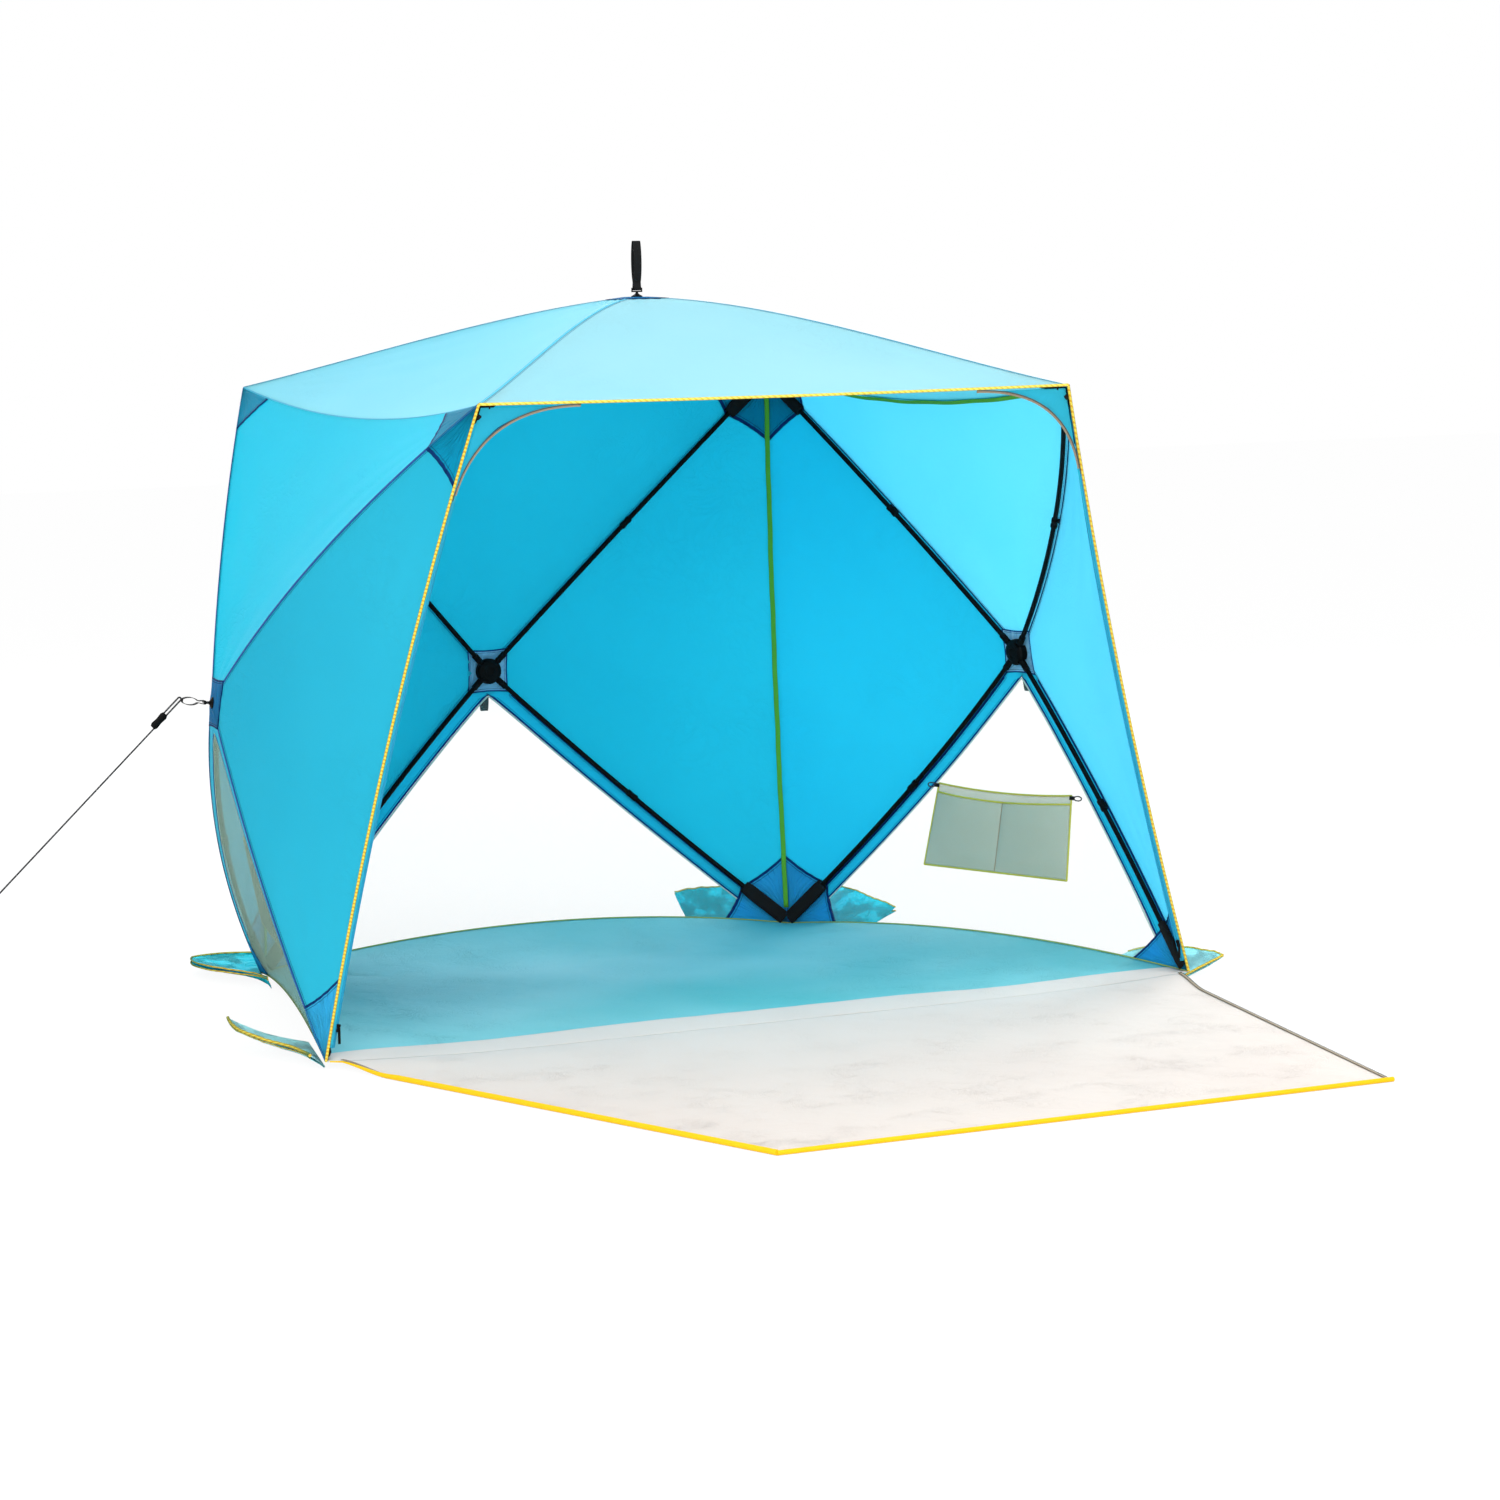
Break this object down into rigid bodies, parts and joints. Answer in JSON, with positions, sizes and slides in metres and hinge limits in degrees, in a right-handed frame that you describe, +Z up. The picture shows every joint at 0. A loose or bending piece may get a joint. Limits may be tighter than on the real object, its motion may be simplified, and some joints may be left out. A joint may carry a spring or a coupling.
{
  "type": "sun shelter",
  "caption": "Pop-up sun shelter with hub-sprung walls and roof, mesh windows, sand pockets, inner pockets and a zip-down door panel laid flat.",
  "frame": {"origin": "on the ground, under the middle of the base, on the floor sheet's underside", "axes": "+Z up, the doorway faces -Y, +X to the right of someone who looks in at the door from outside; symmetric about X = 0 but for the guy line"},
  "size_m": [3.1902, 3.0465, 1.781],
  "materials": {
    "shell_cloth": "satin",
    "window_mesh": "matte",
    "patch_cloth": "satin",
    "gusset_cloth": "satin",
    "floor_sheet": "matte",
    "door_cloth": "matte",
    "sand_pocket_cloth": "satin",
    "pocket_mesh": "matte",
    "hub_nylon": "matte",
    "pole_fibreglass": "satin",
    "strap_webbing": "matte",
    "guy_cord": "matte"
  },
  "bodies": {
    "shell": {"back_wall": "shell_cloth", "back_window": "window_mesh", "corner_patch_back_left_low": "patch_cloth", "corner_patch_back_left_top": "patch_cloth", "corner_patch_back_right_low": "patch_cloth", "corner_patch_back_right_top": "patch_cloth", "corner_patch_front_left_low": "patch_cloth", "corner_patch_front_left_top": "patch_cloth", "corner_patch_front_right_low": "patch_cloth", "corner_patch_front_right_top": "patch_cloth", "floor_sheet": "floor_sheet", "left_door_gusset": "gusset_cloth", "left_wall": "shell_cloth", "left_window": "window_mesh", "right_door_gusset": "gusset_cloth", "right_wall": "shell_cloth", "right_window": "window_mesh", "roof_canopy": "shell_cloth", "sand_pocket_back_left": "sand_pocket_cloth", "sand_pocket_back_right": "sand_pocket_cloth", "sand_pocket_front_left": "sand_pocket_cloth", "sand_pocket_front_right": "sand_pocket_cloth"},
    "roof_hub": {"roof_hub": "hub_nylon", "roof_hub_cap": "hub_nylon"},
    "left_hub": {"left_hub": "hub_nylon", "left_hub_cap": "hub_nylon", "left_pull_strap": "strap_webbing", "guy_line": "guy_cord", "guy_return": "guy_cord", "guy_tensioner": "hub_nylon", "guy_end_knot": "guy_cord"},
    "back_hub": {"back_hub": "hub_nylon", "back_hub_cap": "hub_nylon"},
    "right_hub": {"right_hub": "hub_nylon", "right_hub_cap": "hub_nylon"},
    "roof_strap": {"roof_pull_strap": "strap_webbing"},
    "back_strap": {"back_pull_strap": "strap_webbing"},
    "right_strap": {"right_pull_strap": "strap_webbing"},
    "door": {"door_panel": "door_cloth"},
    "left_pocket": {"left_storage_pocket": "pocket_mesh"},
    "right_pocket": {"right_storage_pocket": "pocket_mesh"},
    "left_zip": {"left_zip_slider": "hub_nylon"},
    "right_zip": {"right_zip_slider": "hub_nylon"},
    "roof_pole_front_left_top": {"roof_pole_front_left_top": "pole_fibreglass"},
    "roof_pole_front_right_top": {"roof_pole_front_right_top": "pole_fibreglass"},
    "roof_pole_back_right_top": {"roof_pole_back_right_top": "pole_fibreglass"},
    "roof_pole_back_left_top": {"roof_pole_back_left_top": "pole_fibreglass"},
    "left_pole_front_left_low": {"left_pole_front_left_low": "pole_fibreglass"},
    "left_pole_front_left_top": {"left_pole_front_left_top": "pole_fibreglass"},
    "left_pole_back_left_top": {"left_pole_back_left_top": "pole_fibreglass"},
    "left_pole_back_left_low": {"left_pole_back_left_low": "pole_fibreglass"},
    "back_pole_back_left_low": {"back_pole_back_left_low": "pole_fibreglass"},
    "back_pole_back_left_top": {"back_pole_back_left_top": "pole_fibreglass"},
    "back_pole_back_right_top": {"back_pole_back_right_top": "pole_fibreglass"},
    "back_pole_back_right_low": {"back_pole_back_right_low": "pole_fibreglass"},
    "right_pole_front_right_low": {"right_pole_front_right_low": "pole_fibreglass"},
    "right_pole_front_right_top": {"right_pole_front_right_top": "pole_fibreglass"},
    "right_pole_back_right_top": {"right_pole_back_right_top": "pole_fibreglass"},
    "right_pole_back_right_low": {"right_pole_back_right_low": "pole_fibreglass"}
  },
  "joints": [
    {"name": "roof_pop", "type": "slide", "parent": "shell", "child": "roof_hub", "axis": [0, -0.0174, 0.9998], "range_m": [-0.399, 0], "deforming": ["roof_canopy"]},
    {"name": "roof_pole_front_left_top_hinge", "type": "hinge", "parent": "roof_hub", "child": "roof_pole_front_left_top", "pos_m": [-0.01397, -0.0443, 1.63175], "axis": [0.7154, -0.6986, -0.0121], "range_deg": [-22.72, 0.2]},
    {"name": "roof_pole_front_right_top_hinge", "type": "hinge", "parent": "roof_hub", "child": "roof_pole_front_right_top", "pos_m": [0.01397, -0.0443, 1.63175], "axis": [0.7154, 0.6986, 0.0121], "range_deg": [-22.72, 0.2]},
    {"name": "roof_pole_back_right_top_hinge", "type": "hinge", "parent": "roof_hub", "child": "roof_pole_back_right_top", "pos_m": [0.01393, -0.01565, 1.63225], "axis": [-0.7175, 0.6964, 0.0121], "range_deg": [-23.16, 0.2]},
    {"name": "roof_pole_back_left_top_hinge", "type": "hinge", "parent": "roof_hub", "child": "roof_pole_back_left_top", "pos_m": [-0.01393, -0.01565, 1.63225], "axis": [-0.7175, -0.6964, -0.0121], "range_deg": [-23.16, 0.2]},
    {"name": "left_pop", "type": "slide", "parent": "shell", "child": "left_hub", "axis": [-0.9825, 0.1296, 0.1335], "range_m": [-0.481, 0], "deforming": ["left_wall", "left_window"]},
    {"name": "left_pole_front_left_low_hinge", "type": "hinge", "parent": "left_hub", "child": "left_pole_front_left_low", "pos_m": [-1.05972, 0.01613, 0.72708], "axis": [0.0024, -0.7086, 0.7056], "range_deg": [-29.01, 0.2]},
    {"name": "left_pole_front_left_top_hinge", "type": "hinge", "parent": "left_hub", "child": "left_pole_front_left_top", "pos_m": [-1.05605, 0.01548, 0.75475], "axis": [0.1861, 0.6753, 0.7137], "range_deg": [-26.55, 0.2]},
    {"name": "left_pole_back_left_top_hinge", "type": "hinge", "parent": "left_hub", "child": "left_pole_back_left_top", "pos_m": [-1.05228, 0.04365, 0.75513], "axis": [0.0004, 0.7191, -0.6949], "range_deg": [-28.4, 0.2]},
    {"name": "left_pole_back_left_low_hinge", "type": "hinge", "parent": "left_hub", "child": "left_pole_back_left_low", "pos_m": [-1.05603, 0.04424, 0.72695], "axis": [-0.1861, -0.6903, -0.6992], "range_deg": [-28.4, 0.2]},
    {"name": "back_pop", "type": "slide", "parent": "shell", "child": "back_hub", "axis": [0, 0.9999, -0.0173], "range_m": [-0.447, 0], "deforming": ["back_wall", "back_window"]},
    {"name": "back_pole_back_left_low_hinge", "type": "hinge", "parent": "back_hub", "child": "back_pole_back_left_low", "pos_m": [-0.01452, 0.92176, 0.68225], "axis": [-0.6875, 0.0126, 0.726], "range_deg": [-26.41, 0.2]},
    {"name": "back_pole_back_left_top_hinge", "type": "hinge", "parent": "back_hub", "child": "back_pole_back_left_top", "pos_m": [-0.01385, 0.92225, 0.71043], "axis": [0.7215, 0.012, 0.6923], "range_deg": [-25.68, 0.2]},
    {"name": "back_pole_back_right_top_hinge", "type": "hinge", "parent": "back_hub", "child": "back_pole_back_right_top", "pos_m": [0.01385, 0.92225, 0.71043], "axis": [0.7215, -0.012, -0.6923], "range_deg": [-25.68, 0.2]},
    {"name": "back_pole_back_right_low_hinge", "type": "hinge", "parent": "back_hub", "child": "back_pole_back_right_low", "pos_m": [0.01452, 0.92176, 0.68225], "axis": [-0.6875, -0.0126, -0.726], "range_deg": [-26.41, 0.2]},
    {"name": "right_pop", "type": "slide", "parent": "shell", "child": "right_hub", "axis": [0.9825, 0.1296, 0.1335], "range_m": [-0.481, 0], "deforming": ["right_wall", "right_window"]},
    {"name": "right_pole_front_right_low_hinge", "type": "hinge", "parent": "right_hub", "child": "right_pole_front_right_low", "pos_m": [1.05972, 0.01613, 0.72708], "axis": [0.0024, 0.7086, -0.7056], "range_deg": [-29.01, 0.2]},
    {"name": "right_pole_front_right_top_hinge", "type": "hinge", "parent": "right_hub", "child": "right_pole_front_right_top", "pos_m": [1.05605, 0.01548, 0.75475], "axis": [0.1861, -0.6753, -0.7137], "range_deg": [-26.55, 0.2]},
    {"name": "right_pole_back_right_top_hinge", "type": "hinge", "parent": "right_hub", "child": "right_pole_back_right_top", "pos_m": [1.05228, 0.04365, 0.75513], "axis": [0.0004, -0.7191, 0.6949], "range_deg": [-28.4, 0.2]},
    {"name": "right_pole_back_right_low_hinge", "type": "hinge", "parent": "right_hub", "child": "right_pole_back_right_low", "pos_m": [1.05603, 0.04424, 0.72695], "axis": [-0.1861, 0.6903, 0.6992], "range_deg": [-28.4, 0.2]},
    {"name": "roof_strap_hinge", "type": "hinge", "parent": "roof_hub", "child": "roof_strap", "pos_m": [0, -0.03064, 1.66899], "axis": [-1, 0, 0], "range_deg": [-80, 80]},
    {"name": "back_strap_hinge", "type": "hinge", "parent": "back_hub", "child": "back_strap", "pos_m": [0, 0.95899, 0.69536], "axis": [1, 0, 0], "range_deg": [0, 150]},
    {"name": "right_strap_hinge", "type": "hinge", "parent": "right_hub", "child": "right_strap", "pos_m": [1.09235, 0.0348, 0.74594], "axis": [0.1308, -0.9914, 0], "range_deg": [0, 150]},
    {"name": "door_hinge", "type": "hinge", "parent": "shell", "child": "door", "pos_m": [0, -0.692, 0.002], "axis": [-1, 0, 0], "range_deg": [0, 85]},
    {"name": "left_pocket_swing", "type": "hinge", "parent": "shell", "child": "left_pocket", "pos_m": [-0.9175, 0, 0.011], "axis": [-0.2557, -0.9667, 0.0098], "range_deg": [-37.86, 0.2]},
    {"name": "left_zip_slide", "type": "slide", "parent": "shell", "child": "left_zip", "axis": [0.238, 0.0293, 0.9708], "range_m": [0, 0.3]},
    {"name": "right_pocket_swing", "type": "hinge", "parent": "shell", "child": "right_pocket", "pos_m": [0.9175, 0, 0.011], "axis": [-0.2557, 0.9667, -0.0098], "range_deg": [-37.86, 0.2]},
    {"name": "right_zip_slide", "type": "slide", "parent": "shell", "child": "right_zip", "axis": [-0.238, 0.0293, 0.9708], "range_m": [0, 0.3]}
  ],
  "couplings": [
    {"joint": "roof_pole_front_left_top_hinge", "follows": "roof_pop", "rad_per_m": 0.98525},
    {"joint": "roof_pole_front_right_top_hinge", "follows": "roof_pop", "rad_per_m": 0.98525},
    {"joint": "roof_pole_back_right_top_hinge", "follows": "roof_pop", "rad_per_m": 1.0044},
    {"joint": "roof_pole_back_left_top_hinge", "follows": "roof_pop", "rad_per_m": 1.0044},
    {"joint": "left_pole_front_left_low_hinge", "follows": "left_pop", "rad_per_m": 1.0453},
    {"joint": "left_pole_front_left_top_hinge", "follows": "left_pop", "rad_per_m": 0.95628},
    {"joint": "left_pole_back_left_top_hinge", "follows": "left_pop", "rad_per_m": 1.0233},
    {"joint": "left_pole_back_left_low_hinge", "follows": "left_pop", "rad_per_m": 1.0233},
    {"joint": "back_pole_back_left_low_hinge", "follows": "back_pop", "rad_per_m": 1.0235},
    {"joint": "back_pole_back_left_top_hinge", "follows": "back_pop", "rad_per_m": 0.99474},
    {"joint": "back_pole_back_right_top_hinge", "follows": "back_pop", "rad_per_m": 0.99474},
    {"joint": "back_pole_back_right_low_hinge", "follows": "back_pop", "rad_per_m": 1.0235},
    {"joint": "right_pole_front_right_low_hinge", "follows": "right_pop", "rad_per_m": 1.0453},
    {"joint": "right_pole_front_right_top_hinge", "follows": "right_pop", "rad_per_m": 0.95628},
    {"joint": "right_pole_back_right_top_hinge", "follows": "right_pop", "rad_per_m": 1.0233},
    {"joint": "right_pole_back_right_low_hinge", "follows": "right_pop", "rad_per_m": 1.0233},
    {"joint": "left_pocket_swing", "follows": "left_pop", "rad_per_m": 1.3666},
    {"joint": "right_pocket_swing", "follows": "right_pop", "rad_per_m": 1.3666}
  ]
}
